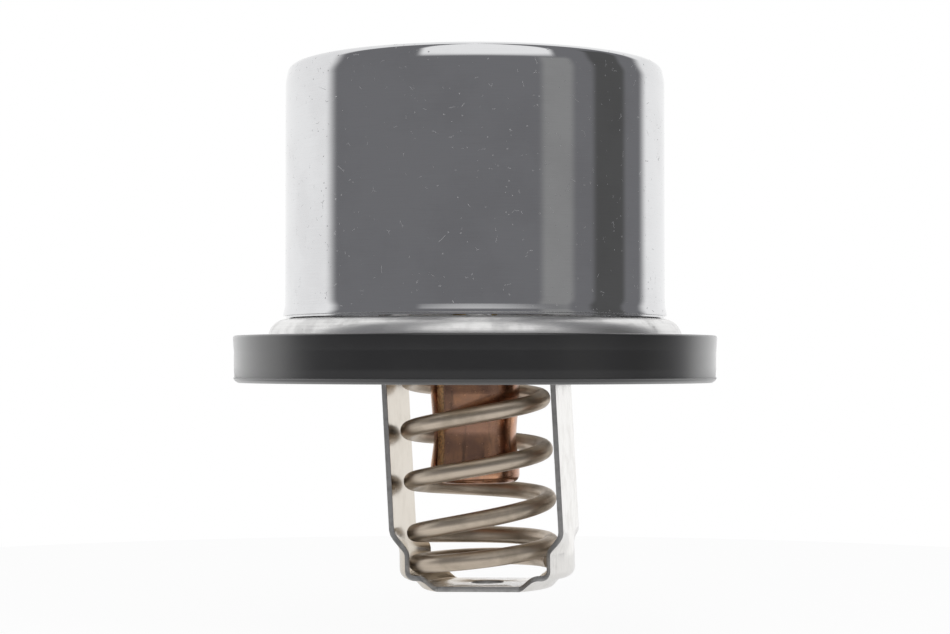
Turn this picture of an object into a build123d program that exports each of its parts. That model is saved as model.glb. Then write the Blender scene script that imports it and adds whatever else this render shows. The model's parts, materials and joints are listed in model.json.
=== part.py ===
from build123d import *
import os
from math import cos, pi, radians, sin, tan

# Sleeve-type coolant temperature valve of a heavy-duty engine. Millimetres, +Z up along the sleeve's
# axis, origin on that axis at the mid-plane of the flange seal. The stirrup's two legs stand at -X and +X.
#
# Heat melts the wax in the capsule, which pushes the piston up against a cross bar fixed in the sleeve. The
# sleeve lifts off the flat top of the seat plate, and the stirrup riveted to the cross bar rises with it. The
# spring, held between the fixed bridge and the stirrup's floor, pulls the sleeve back down as the wax cools.

# ---- driving dimensions ----

# seat plate: one pressing, a flat rim, a short wall, and a flat top with the bore
plate_t = 1.0
rim_r = 32.5
wall_r = 29.4
seat_top_z = 5.75
seat_bore_r = 21.0
shoulder_round = 2.0
rim_bend = 0.5

# flange seal: rubber ring moulded round the rim of the seat plate
seal_r = 34.4
seal_height = 6.5
seal_inner_r = 29.5
seal_top_round = 0.7
seal_foot_chamfer = 0.65

# valve sleeve: drawn tube, narrower near the top, with a turned-in lip there and a slight flare at its foot
sleeve_r = 27.0
sleeve_t = 1.0
sleeve_height = 35.7
sleeve_seat_gap = 0.15
mouth_r = 23.0
mouth_round = 1.1
narrowing_height = 2.8
narrowing_in = 0.45
narrowing_round = 6.0
flare_height = 1.6
flare_out = 0.35
flare_round = 3.0

# element bridge: flat strip under the seat plate's top, across the bore along Y
bridge_t = 1.2
bridge_width = 20.0
bridge_end_r = 25.6
bridge_rivet_x = 5.5
bridge_rivet_y = 23.2

# wax capsule: drawn copper cup with a drawn-in waist, its rim crimped over the guide's flange
cup_r = 6.35
cup_t = 0.5
cup_bottom_z = -17.4
cup_corner = 1.1
waist_r = 5.82
waist_z = -11.3
waist_bottom_z = -15.2
waist_top_z = -4.6
waist_round = 12.0
crimp_r = 7.6
crimp_bottom_z = -1.9
crimp_top_z = 1.9
crimp_lip_r = 6.2
crimp_round = 0.8
crimp_neck_round = 0.3

# capsule guide and the pieces inside the capsule
diaphragm_t = 0.8
guide_hub_r = 5.2
guide_neck_r = 4.0
guide_stem_r = 3.2
guide_top_z = 14.0
guide_top_chamfer = 0.5
plug_base_r = 3.6
plug_cone_top_z = 2.2
plug_top_z = 4.0
chafe_t = 0.6
piston_r = 2.0
piston_top_z = 18.5
piston_tip_chamfer = 0.4
running_gap = 0.05

# lock ring pressed on the guide's neck, and the spring's seat washer
lock_ring_r = 6.4
lock_ring_t = 1.0
lock_ring_chamfer = 0.25
washer_r = 10.9
washer_bore_r = 5.4
washer_t = 0.8

# return spring: round wire, closed ends, bowed towards +X below the capsule's middle, its coils tilted
wire_r = 1.25
coil_r = 9.55
coil_foot_z = -28.84
coil_start_angle = 12.2
coil_pitch = 7.2
coil_foot_turns = 1.65
coil_head_turns = 1.22
coil_lean = 3.9
coil_lean_from_z = -7.9
coil_tilts = ((0.0, 1.1), (0.6, 4.2), (1.9, 4.4), (2.5, 3.3), (4.4, 3.3), (5.6, 0.0))
coil_steps_per_turn = 24

# cross bar: strip along X inside the sleeve, raised in the middle, its ends turned up against the wall
bar_t = 1.2
bar_width = 14.0
bar_bottom_z = 13.0
bar_raise = 6.0
bar_crown_half = 4.6
bar_slope_half = 9.2
bar_bend = 1.0
tab_height = 6.0
tab_start_r = 18.0

# piston socket riveted through the crown of the cross bar
socket_r = 3.4
socket_depth = 2.6
socket_shank_r = 1.8
socket_head_r = 2.8
socket_head_t = 0.8

# stirrup: one strap folded to a U, leaning towards +X, its floor drawn to a cup round the last coil
strap_t = 0.75
strap_width = 13.0
strap_blank_length = 108.0
strap_half_gap = 11.7
strap_bend = 0.5
strap_foot_x = 18.0
lean_angle = 3.15
lean_from_z = 2.65
lean_round = 20.0
leg_end_z = -23.9
cup_wall_top_z = -27.2
cup_tilt = 1.1
level_within = 25.0
floor_top_z = -30.1
floor_corner = 1.4
dish_top_r = 10.15
dish_bottom_r = 8.8
dish_depth = 1.5
dish_bend = 0.6
floor_hole_r = 2.3
stirrup_rivet_x = 15.4
stirrup_rivet_y = 3.3

# rivets: one pattern for the bridge and the stirrup
rivet_r = 1.2
rivet_head_r = 1.8
rivet_crown_r = 1.1
rivet_head_t = 0.8
rivet_gap = 0.05

# ---- places worked out from the driving dimensions ----

seat_under_z = seat_top_z - plate_t
bridge_under_z = seat_under_z - bridge_t
bar_top_z = bar_bottom_z + bar_t
crown_under_z = bar_bottom_z + bar_raise
crown_top_z = crown_under_z + bar_t
diaphragm_bottom_z = crimp_bottom_z + cup_t
guide_bottom_z = diaphragm_bottom_z + diaphragm_t
guide_flange_top_z = crimp_top_z - cup_t
guide_flange_r = crimp_r - cup_t
washer_bottom_z = bridge_under_z - washer_t
sleeve_bottom_z = seat_top_z + sleeve_seat_gap
sleeve_top_z = sleeve_bottom_z + sleeve_height
sleeve_inner_r = sleeve_r - sleeve_t
piston_bottom_z = plug_top_z + chafe_t + running_gap
guide_bore_r = piston_r + running_gap
cup_axis_x = (lean_from_z - floor_top_z) * tan(radians(lean_angle))
coil_head_z = washer_bottom_z - wire_r


# ---- helpers ----

def sheet_section(points, radii, thickness, side):
    """Section of a bent sheet: its drawn face follows the points, the other face lies to one side."""
    drawn_face = FilletPolyline(*points, radius=radii)
    return make_face(offset(drawn_face, amount=thickness, side=side))


def turned(section):
    """Solid of revolution about Z, from a section drawn as (radius, height)."""
    return revolve(Plane.XZ * section, axis=Axis.Z)


def turned_outline(*points):
    """Solid of revolution about Z, from the corners of its half section."""
    return turned(make_face(Polyline(*points, close=True)))


def disc(radius, bottom_z, top_z):
    """Upright cylinder between two heights."""
    return Pos(0, 0, bottom_z) * extrude(Circle(radius), amount=top_z - bottom_z)


def strap_between(width, low_z, high_z):
    """Block as wide as a strap along Y and longer than the object, to cut turned forms to that width."""
    block = extrude(Rectangle(strap_blank_length, width), amount=high_z - low_z)
    return Pos(0, 0, low_z) * block


def at_corners(half_x, half_y):
    """The four places (+-half_x, +-half_y)."""
    return [Pos(sx * half_x, sy * half_y, 0) for sx in (-1, 1) for sy in (-1, 1)]


def rivets(half_x, half_y, grip_bottom_z, grip_top_z):
    """Four rivets, each with a low tapered head on either side of what it grips."""
    rivet = turned_outline(
        (0, grip_bottom_z - rivet_head_t),
        (rivet_crown_r, grip_bottom_z - rivet_head_t),
        (rivet_head_r, grip_bottom_z),
        (rivet_r, grip_bottom_z),
        (rivet_r, grip_top_z),
        (rivet_head_r, grip_top_z),
        (rivet_crown_r, grip_top_z + rivet_head_t),
        (0, grip_top_z + rivet_head_t),
    )
    return Compound([place * rivet.solid() for place in at_corners(half_x, half_y)])


def rivet_holes(half_x, half_y, bottom_z, top_z):
    """Cutters for the four holes that such rivets pass through."""
    hole = disc(rivet_r + rivet_gap, bottom_z, top_z)
    return [place * hole for place in at_corners(half_x, half_y)]


# ---- seat plate and seal ----

def make_seat_plate():
    """Pressing whose flat top is the valve seat, with the bore, and whose rim carries the seal."""
    top_face = [(seat_bore_r, seat_top_z), (wall_r, seat_top_z), (wall_r, plate_t / 2), (rim_r, plate_t / 2)]
    plate = turned(sheet_section(top_face, [shoulder_round, rim_bend], plate_t, Side.RIGHT))
    return plate - rivet_holes(bridge_rivet_x, bridge_rivet_y, seat_under_z, seat_top_z)


def make_flange_seal():
    """Rubber ring with a groove for the rim, rounded at the top edge and chamfered at the foot."""
    half_height = seal_height / 2
    groove_top_z = plate_t / 2
    ring = turned_outline(
        (seal_inner_r, -half_height),
        (seal_r, -half_height),
        (seal_r, half_height),
        (seal_inner_r, half_height),
        (seal_inner_r, groove_top_z + rim_bend),
        (seal_inner_r + rim_bend, groove_top_z),
        (rim_r, groove_top_z),
        (rim_r, -groove_top_z),
        (seal_inner_r, -groove_top_z),
    )
    rim_edges = ring.edges().filter_by(GeomType.CIRCLE).group_by(SortBy.RADIUS)[-1].sort_by(Axis.Z)
    ring = fillet(rim_edges[-1], seal_top_round)
    foot_edge = ring.edges().filter_by(GeomType.CIRCLE).group_by(SortBy.RADIUS)[-1].sort_by(Axis.Z)[0]
    return chamfer(foot_edge, seal_foot_chamfer)


# ---- fixed bridge and wax capsule ----

def make_bridge():
    """Strip across the bore under the seat plate, with the hole for the capsule's neck."""
    outline = Rectangle(bridge_width, 2 * bridge_end_r) & Circle(bridge_end_r)
    strip = Pos(0, 0, bridge_under_z) * extrude(outline - Circle(guide_neck_r), amount=bridge_t)
    return strip - rivet_holes(bridge_rivet_x, bridge_rivet_y, bridge_under_z, seat_under_z)


def cup_outer_line():
    """Outer line of the capsule's body from the axis at the bottom to the step, and its corner radii."""
    points = [
        (0, cup_bottom_z),
        (cup_r, cup_bottom_z),
        (cup_r, waist_bottom_z),
        (waist_r, waist_z),
        (cup_r, waist_top_z),
        (cup_r, crimp_bottom_z),
    ]
    return points, [cup_corner, waist_round, waist_round, waist_round]


def make_capsule_cup():
    """Drawn copper cup, stepped out at the top and crimped inwards over the guide's flange."""
    body_points, body_radii = cup_outer_line()
    rim_points = [(crimp_r, crimp_bottom_z), (crimp_r, crimp_top_z), (crimp_lip_r, crimp_top_z)]
    rim_radii = [crimp_neck_round, crimp_round, crimp_round]
    return turned(sheet_section(body_points + rim_points, body_radii + rim_radii, cup_t, Side.LEFT))


def make_wax_charge(cup):
    """Wax that fills the cup's body up to the diaphragm."""
    points, radii = cup_outer_line()
    wall = FilletPolyline(*points, radius=radii)
    lid = Polyline(points[-1], (cup_r, diaphragm_bottom_z), (0, diaphragm_bottom_z), points[0])
    return turned(make_face(wall + lid)) - cup


def make_diaphragm():
    """Rubber disc clamped between the cup's step and the guide's flange."""
    rubber = disc(guide_flange_r, diaphragm_bottom_z, guide_bottom_z)
    lower_edge = rubber.edges().filter_by(GeomType.CIRCLE).sort_by(Axis.Z)[0]
    return fillet(lower_edge, crimp_round - cup_t)


def plug_outline():
    """Half section of the plug's chamber: a cone below, then the bore's width."""
    return [
        (0, guide_bottom_z),
        (plug_base_r, guide_bottom_z),
        (guide_bore_r, plug_cone_top_z),
        (guide_bore_r, plug_top_z),
        (0, plug_top_z),
    ]


def make_capsule_guide():
    """Turned brass guide: clamped flange, hub under the bridge, neck, and stem with the piston's bore."""
    neck_top_z = seat_under_z + lock_ring_t
    guide = turned_outline(
        (0, guide_bottom_z),
        (guide_flange_r, guide_bottom_z),
        (guide_flange_r, guide_flange_top_z),
        (guide_hub_r, guide_flange_top_z),
        (guide_hub_r, bridge_under_z),
        (guide_neck_r, bridge_under_z),
        (guide_neck_r, neck_top_z),
        (guide_stem_r, neck_top_z),
        (guide_stem_r, guide_top_z - guide_top_chamfer),
        (guide_stem_r - guide_top_chamfer, guide_top_z),
        (0, guide_top_z),
    )
    flange_edge = guide.edges().filter_by(GeomType.CIRCLE).group_by(SortBy.RADIUS)[-1].sort_by(Axis.Z)[-1]
    guide = fillet(flange_edge, crimp_round - cup_t)
    return guide - turned_outline(*plug_outline()) - disc(guide_bore_r, guide_bottom_z, guide_top_z)


def make_rubber_plug():
    """Rubber plug that the diaphragm squeezes up the guide's cone."""
    return turned_outline(*plug_outline())


def make_chafe_disc():
    """Thin disc between the rubber plug and the piston."""
    return disc(piston_r, plug_top_z, plug_top_z + chafe_t)


def make_lock_ring():
    """Ring pressed on the neck above the bridge, chamfered on its outer edge."""
    ring = disc(lock_ring_r, seat_under_z, seat_under_z + lock_ring_t)
    upper_edge = ring.edges().filter_by(GeomType.CIRCLE).sort_by(Axis.Z)[-1]
    ring = chamfer(upper_edge, lock_ring_chamfer)
    return ring - disc(guide_neck_r, seat_under_z, seat_under_z + lock_ring_t)


def make_seat_washer():
    """Flat washer between the bridge and the spring's top coil."""
    washer = disc(washer_r, washer_bottom_z, bridge_under_z)
    return washer - disc(washer_bore_r, washer_bottom_z, bridge_under_z)


# ---- return spring ----

def coil_turns():
    """Turns from end to end: a foot and a head that close up, and full-pitch turns between them."""
    closing_rise = coil_pitch / 2 * (coil_foot_turns + coil_head_turns)
    full_pitch_rise = coil_head_z - coil_foot_z - closing_rise
    return coil_foot_turns + full_pitch_rise / coil_pitch + coil_head_turns


def coil_height(turn):
    """Height of the coil's centre after a number of turns, counted up from the wire's lower end."""
    above_foot = max(turn - coil_foot_turns, 0)
    in_foot = min(turn, coil_foot_turns)
    in_head = max(turn - (coil_turns() - coil_head_turns), 0)
    foot_rise = coil_pitch * in_foot ** 2 / (2 * coil_foot_turns)
    head_loss = coil_pitch * in_head ** 2 / (2 * coil_head_turns)
    return coil_foot_z + foot_rise + coil_pitch * above_foot - head_loss


def coil_tilt(turn):
    """Tilt of the coil in degrees, its +X side higher, read between the listed turns."""
    for (low_turn, low_tilt), (high_turn, high_tilt) in zip(coil_tilts, coil_tilts[1:]):
        if turn <= high_turn:
            return low_tilt + (high_tilt - low_tilt) * (turn - low_turn) / (high_turn - low_turn)
    return coil_tilts[-1][1]


def coil_point(turn):
    """Point of the wire's centre line; the coils below a height are shifted towards +X."""
    height = coil_height(turn)
    angle = radians(coil_start_angle) + 2 * pi * turn
    lean_x = max(coil_lean_from_z - height, 0) * tan(radians(coil_lean))
    across = coil_r * cos(angle)
    return (lean_x + across, coil_r * sin(angle), height + across * tan(radians(coil_tilt(turn))))


def make_return_spring():
    """Right-handed spring, its round wire in short straight runs with mitred joints."""
    turns = coil_turns()
    runs = round(turns * coil_steps_per_turn)
    points = [coil_point(turns * run / runs) for run in range(runs + 1)]
    path = Polyline(*points)
    start = Plane(origin=points[0], z_dir=path % 0)
    return sweep(start * Circle(wire_r), path=path, transition=Transition.RIGHT)


# ---- moving valve: sleeve, cross bar, piston and stirrup ----

def make_sleeve():
    """Valve sleeve, faced flat at its flared foot, and open at the top inside its turned-in lip."""
    facing_cut = sleeve_t
    outer_face = [
        (sleeve_r + flare_out * (1 + facing_cut / flare_height), sleeve_bottom_z - facing_cut),
        (sleeve_r, sleeve_bottom_z + flare_height),
        (sleeve_r, sleeve_top_z - narrowing_height),
        (sleeve_r - narrowing_in, sleeve_top_z),
        (mouth_r, sleeve_top_z),
    ]
    bends = [flare_round, narrowing_round, mouth_round]
    tube = turned(sheet_section(outer_face, bends, sleeve_t, Side.LEFT))
    return tube - disc(2 * sleeve_r, sleeve_bottom_z - 2 * facing_cut, sleeve_bottom_z)


def make_cross_bar():
    """Strip with a raised crown over the piston and end tabs that follow the sleeve's inner wall."""
    under_face = [
        (-tab_start_r - bar_t, bar_bottom_z),
        (-bar_slope_half, bar_bottom_z),
        (-bar_crown_half, crown_under_z),
        (bar_crown_half, crown_under_z),
        (bar_slope_half, bar_bottom_z),
        (tab_start_r + bar_t, bar_bottom_z),
    ]
    wide_bend = bar_bend + bar_t
    section = sheet_section(under_face, [wide_bend, bar_bend, bar_bend, wide_bend], bar_t, Side.LEFT)
    middle = extrude(Plane.XZ * section, amount=bar_width / 2, both=True)
    tab_top_z = bar_bottom_z + tab_height
    tab_face = [(tab_start_r, bar_bottom_z), (sleeve_inner_r, bar_bottom_z), (sleeve_inner_r, tab_top_z)]
    ring = turned(sheet_section(tab_face, [wide_bend], bar_t, Side.LEFT))
    tabs = ring & strap_between(bar_width, bar_bottom_z, tab_top_z)
    bar = middle + tabs
    bar -= rivet_holes(stirrup_rivet_x, stirrup_rivet_y, bar_bottom_z, bar_top_z)
    return bar - disc(socket_shank_r + rivet_gap, crown_under_z, crown_top_z)


def make_piston_socket():
    """Button with a blind hole for the piston's tip, its shank headed over above the cross bar."""
    socket = turned_outline(
        (0, piston_top_z),
        (guide_bore_r, piston_top_z),
        (guide_bore_r, crown_under_z - socket_depth),
        (socket_r, crown_under_z - socket_depth),
        (socket_r, crown_under_z),
        (socket_shank_r, crown_under_z),
        (socket_shank_r, crown_top_z),
        (socket_head_r, crown_top_z),
        (socket_shank_r, crown_top_z + socket_head_t),
        (0, crown_top_z + socket_head_t),
    )
    return socket


def make_piston():
    """Ground pin that the wax pushes up out of the guide, chamfered at both ends."""
    pin = disc(piston_r, piston_bottom_z, piston_top_z)
    return chamfer(pin.edges().filter_by(GeomType.CIRCLE), piston_tip_chamfer)


def make_stirrup_leg(side):
    """Leg at -X or +X: foot under the cross bar, upright part, and leaning part down to the cup."""
    lean_x = (lean_from_z - leg_end_z) * tan(radians(lean_angle))
    inner_face = [
        (side * strap_foot_x, bar_bottom_z),
        (side * strap_half_gap, bar_bottom_z),
        (side * strap_half_gap, lean_from_z),
        (side * strap_half_gap + lean_x, leg_end_z),
    ]
    body_side = Side.LEFT if side > 0 else Side.RIGHT
    section = sheet_section(inner_face, [strap_bend + strap_t, lean_round], strap_t, body_side)
    return extrude(Plane.XZ * section, amount=strap_width / 2, both=True)


def make_stirrup_cup():
    """Drawn floor: wall round the last coil, ledge, dish and hole, cut to the strap's width and tilted."""
    inner_face = [
        (strap_half_gap, cup_wall_top_z),
        (strap_half_gap, floor_top_z),
        (dish_top_r, floor_top_z),
        (dish_bottom_r, floor_top_z - dish_depth),
        (floor_hole_r, floor_top_z - dish_depth),
    ]
    bends = [floor_corner - strap_t, dish_bend + strap_t, dish_bend]
    cup = turned(sheet_section(inner_face, bends, strap_t, Side.LEFT))
    below_floor = floor_top_z - dish_depth - 2 * strap_t
    cup &= strap_between(strap_width, below_floor, cup_wall_top_z)
    return Pos(cup_axis_x, 0, floor_top_z) * Rot(0, -cup_tilt, 0) * Pos(0, 0, -floor_top_z) * cup


def make_stirrup():
    """Both legs blended into the drawn cup, with holes for the rivets in their feet."""
    cup = make_stirrup_cup()
    facing_up = cup.faces().filter_by(lambda face: face.normal_at().Z > cos(radians(level_within)))
    wall_ends = facing_up.sort_by(Axis.Z)[-2:].sort_by(Axis.X)
    stirrup = cup
    for side, wall_end in zip((-1, 1), wall_ends):
        leg = make_stirrup_leg(side)
        leg_end = leg.faces().sort_by(Axis.Z)[0]
        stirrup = stirrup + leg + loft([leg_end, wall_end], ruled=True)
    holes = rivet_holes(stirrup_rivet_x, stirrup_rivet_y, bar_bottom_z - strap_t, bar_bottom_z)
    return stirrup - holes


# ---- nodes ----

def main():
    """Build every piece and write one STEP file for each."""
    cup = make_capsule_cup()
    pieces = {
        "seat_plate": make_seat_plate(),
        "flange_seal": make_flange_seal(),
        "element_bridge": make_bridge(),
        "bridge_rivets": rivets(bridge_rivet_x, bridge_rivet_y, bridge_under_z, seat_top_z),
        "capsule_cup": cup,
        "capsule_guide": make_capsule_guide(),
        "wax_charge": make_wax_charge(cup),
        "diaphragm": make_diaphragm(),
        "rubber_plug": make_rubber_plug(),
        "chafe_disc": make_chafe_disc(),
        "capsule_lock_ring": make_lock_ring(),
        "spring_seat_washer": make_seat_washer(),
        "return_spring": make_return_spring(),
        "valve_sleeve": make_sleeve(),
        "cross_bar": make_cross_bar(),
        "piston_socket": make_piston_socket(),
        "piston": make_piston(),
        "stirrup": make_stirrup(),
        "stirrup_rivets": rivets(stirrup_rivet_x, stirrup_rivet_y, bar_bottom_z - strap_t, bar_top_z),
    }
    os.makedirs("parts", exist_ok=True)
    for name, piece in pieces.items():
        export_step(piece, os.path.join("parts", name + ".step"))
        print(f"{name}: {len(piece.solids())} solid(s), {piece.volume:.1f} mm3, valid {piece.is_valid}")
    print(f"spring turns: {coil_turns():.3f}")


main()
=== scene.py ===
"""Looks of a sleeve-type coolant temperature valve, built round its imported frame.

Lengths are written in millimetres and turned into metres where a mesh is made. +Z runs up the sleeve's axis
and the origin is at the mid-plane of the flange seal.
"""

from __future__ import annotations

import json
import logging
import math
from dataclasses import dataclass
from enum import Enum
from functools import cached_property
from typing import Callable, Sequence

import bmesh
import bpy
from mathutils import Matrix, Vector
from mathutils.kdtree import KDTree

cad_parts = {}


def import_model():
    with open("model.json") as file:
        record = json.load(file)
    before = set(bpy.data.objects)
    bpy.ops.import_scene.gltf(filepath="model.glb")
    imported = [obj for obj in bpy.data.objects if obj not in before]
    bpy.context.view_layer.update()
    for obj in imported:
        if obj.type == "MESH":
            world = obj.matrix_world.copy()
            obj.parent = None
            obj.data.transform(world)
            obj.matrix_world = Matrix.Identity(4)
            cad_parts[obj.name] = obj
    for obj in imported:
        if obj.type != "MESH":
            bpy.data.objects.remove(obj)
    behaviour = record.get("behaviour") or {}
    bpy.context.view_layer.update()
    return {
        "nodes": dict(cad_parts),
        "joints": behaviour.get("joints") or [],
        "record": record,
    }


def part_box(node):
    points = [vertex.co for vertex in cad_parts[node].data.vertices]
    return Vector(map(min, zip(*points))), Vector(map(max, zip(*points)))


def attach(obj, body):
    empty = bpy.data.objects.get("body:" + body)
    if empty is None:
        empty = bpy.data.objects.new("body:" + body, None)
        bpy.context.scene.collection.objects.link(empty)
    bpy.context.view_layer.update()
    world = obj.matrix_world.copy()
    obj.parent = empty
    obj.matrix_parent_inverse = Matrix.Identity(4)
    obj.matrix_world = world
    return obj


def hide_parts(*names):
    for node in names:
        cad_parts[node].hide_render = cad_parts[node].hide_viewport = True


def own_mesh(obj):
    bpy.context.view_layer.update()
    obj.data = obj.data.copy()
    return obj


MM = 0.001
LOG = logging.getLogger("coolant_valve")

Colour = tuple[float, float, float]
Point = tuple[float, float]
Piece = bpy.types.Object


class Body(Enum):
    """The two rigid bodies of the valve."""

    SEAT = "seat"
    VALVE = "valve"


class Grain(Enum):
    """Which way the fine marks of a metal surface run."""

    ROUND = "round the axis"
    ALONG_Z = "up the axis"
    ALONG_WIRE = "along the wire"
    EVEN = "no direction"


# ---- shader maths ----


def operator(operation: str, swapped: bool = False) -> Callable[[Shade, Shade | float], Shade]:
    """Make one of Python's operators on shades.

    Args:
        operation: The Math node's operation.
        swapped: Whether the other value stands first, as in 1 - mask.

    Returns:
        The operator's method.
    """

    def method(shade: Shade, other: Shade | float) -> Shade:
        """Add the Math node and return its result."""
        return shade.graph.function(operation, *((other, shade) if swapped else (shade, other)))

    return method


@dataclass(frozen=True)
class Shade:
    """A value that flows through a node tree; Python's operators on it add Math nodes."""

    graph: Graph
    socket: bpy.types.NodeSocket

    __add__ = operator("ADD")
    __radd__ = operator("ADD", swapped=True)
    __sub__ = operator("SUBTRACT")
    __rsub__ = operator("SUBTRACT", swapped=True)
    __mul__ = operator("MULTIPLY")
    __rmul__ = operator("MULTIPLY", swapped=True)
    __truediv__ = operator("DIVIDE")

    def between(self, low: float, high: float) -> Shade:
        """Rise smoothly from 0 at low to 1 at high; high may be the smaller one."""
        settings = {"interpolation_type": "SMOOTHSTEP", "clamp": True}
        sockets = {"Value": self, "From Min": low, "From Max": high}
        return self.graph.node("ShaderNodeMapRange", settings, sockets)


class Graph:
    """The nodes of one material or of the world."""

    def __init__(self, tree: bpy.types.NodeTree) -> None:
        """Start from an empty tree.

        Args:
            tree: The node tree, whose nodes are removed.
        """
        self.tree = tree
        tree.nodes.clear()

    def node(
        self,
        kind: str,
        settings: dict[str, object] | None = None,
        sockets: dict[str | int, object] | None = None,
        output: str | int = 0,
    ) -> Shade:
        """Add a node and return one of its outputs.

        Args:
            kind: The node's type name.
            settings: Properties of the node, set first.
            sockets: Values or links of the input sockets, by name or index.
            output: Name or index of the output that is returned.

        Returns:
            The chosen output.
        """
        node = self.tree.nodes.new(kind)
        for name, value in (settings or {}).items():
            setattr(node, name, value)
        for name, value in (sockets or {}).items():
            socket = node.inputs[name]
            if isinstance(value, Shade):
                self.tree.links.new(value.socket, socket)
            elif isinstance(value, tuple) and socket.type == "RGBA":
                socket.default_value = (*value, 1.0)
            else:
                socket.default_value = value
        return Shade(self, node.outputs[output])

    def mix(self, factor: Shade | float, first: Shade | Colour, second: Shade | Colour) -> Shade:
        """Blend two colours.

        Args:
            factor: 0 for the first colour, 1 for the second.
            first: Colour at factor 0.
            second: Colour at factor 1.

        Returns:
            The blended colour.
        """
        factor_input, first_input, second_input, colour_output = 0, 6, 7, 2
        sockets = {factor_input: factor, first_input: first, second_input: second}
        return self.node("ShaderNodeMix", {"data_type": "RGBA"}, sockets, colour_output)

    def close(self, kind: str, shader: Shade) -> None:
        """Link a shader to the output node of a "Material" or a "World"."""
        output = self.tree.nodes.new("ShaderNodeOutput" + kind)
        self.tree.links.new(shader.socket, output.inputs["Surface"])

    def function(self, operation: str, *values: Shade | float) -> Shade:
        """Result of a Math node, such as a root or an angle, on one or two values."""
        return self.node("ShaderNodeMath", {"operation": operation}, dict(enumerate(values)))

    def axes(self, vector: Shade) -> list[Shade]:
        """X, Y and Z of a vector."""
        return [self.node("ShaderNodeSeparateXYZ", {}, {0: vector}, axis) for axis in "XYZ"]

    def place(self) -> Shade:
        """Object coordinates, in metres."""
        return self.node("ShaderNodeTexCoord", output="Object")

    def stretched(self, vector: Shade, scale: Colour) -> Shade:
        """Coordinates scaled along each axis."""
        return self.node("ShaderNodeMapping", {}, {"Vector": vector, "Scale": scale})

    def noise(self, vector: Shade, scale: float, detail: float = 3.0, roughness: float = 0.55) -> Shade:
        """Noise from 0 to 1 on the given coordinates."""
        sockets = {"Vector": vector, "Scale": scale, "Detail": detail, "Roughness": roughness}
        return self.node("ShaderNodeTexNoise", {}, sockets)

    def specks(self, vector: Shade, scale: float, size: float) -> Shade:
        """Scattered dots: 1 at the middle of a dot, 0 between them.

        Args:
            vector: Coordinates.
            scale: Dots for each unit of length.
            size: Radius of a dot, as a share of the distance between dots.

        Returns:
            The mask.
        """
        distance = self.node("ShaderNodeTexVoronoi", {}, {"Vector": vector, "Scale": scale}, "Distance")
        return distance.between(size, size * 0.4)

    def hairs(self, vector: Shade, scale: float, width: float) -> Shade:
        """Short, thin, bent lines: 1 on a line, 0 beside it.

        Args:
            vector: Coordinates.
            scale: Cells for each unit of length; a line follows a part of a cell's border.
            width: Width of a line, as a share of a cell.

        Returns:
            The mask.
        """
        sockets = {"Vector": vector, "Scale": scale}
        border = self.node("ShaderNodeTexVoronoi", {"feature": "DISTANCE_TO_EDGE"}, sockets, "Distance")
        kept_parts = self.noise(vector, scale * 2.6, 1.0).between(0.62, 0.67)
        return border.between(width, width * 0.4) * kept_parts

    def wrapped(self, vector: Shade) -> Shade:
        """Coordinates that run round the Z axis: distance from it, a slow angle, and height."""
        across, deep, up = self.axes(vector)
        radius = self.function("SQRT", across * across + deep * deep)
        slow_angle = self.function("ARCTAN2", deep, across) * 0.6 * MM
        return self.node("ShaderNodeCombineXYZ", {}, {"X": radius, "Y": slow_angle, "Z": up})

    def bump(self, height: Shade, distance: float, strength: float = 0.5) -> Shade:
        """Normal of a surface with fine relief.

        Args:
            height: The relief, from 0 to about 1.
            distance: How deep the relief is, in millimetres.
            strength: How much of it shows.

        Returns:
            The normal.
        """
        sockets = {"Strength": strength, "Distance": distance * MM, "Height": height}
        return self.node("ShaderNodeBump", {}, sockets, "Normal")


def new_graph(name: str) -> tuple[bpy.types.Material, Graph]:
    """Make an empty node material.

    Args:
        name: Name of the material.

    Returns:
        The material and its node graph.
    """
    material = bpy.data.materials.new(name)
    material.use_nodes = True
    return material, Graph(material.node_tree)


# ---- finishes ----


@dataclass(frozen=True)
class Finish:
    """What every finish has: a name, and one shader that the finishes fill in their own way."""

    name: str

    def sockets(self, graph: Graph) -> dict[str, object]:
        """Values and links of the shader's sockets.

        Args:
            graph: The material's nodes.

        Returns:
            Each socket's value or link, by its name.
        """
        raise NotImplementedError

    def material(self) -> bpy.types.Material:
        """Build the material."""
        material, graph = new_graph(self.name)
        graph.close("Material", graph.node("ShaderNodeBsdfPrincipled", {}, self.sockets(graph)))
        return material


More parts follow.
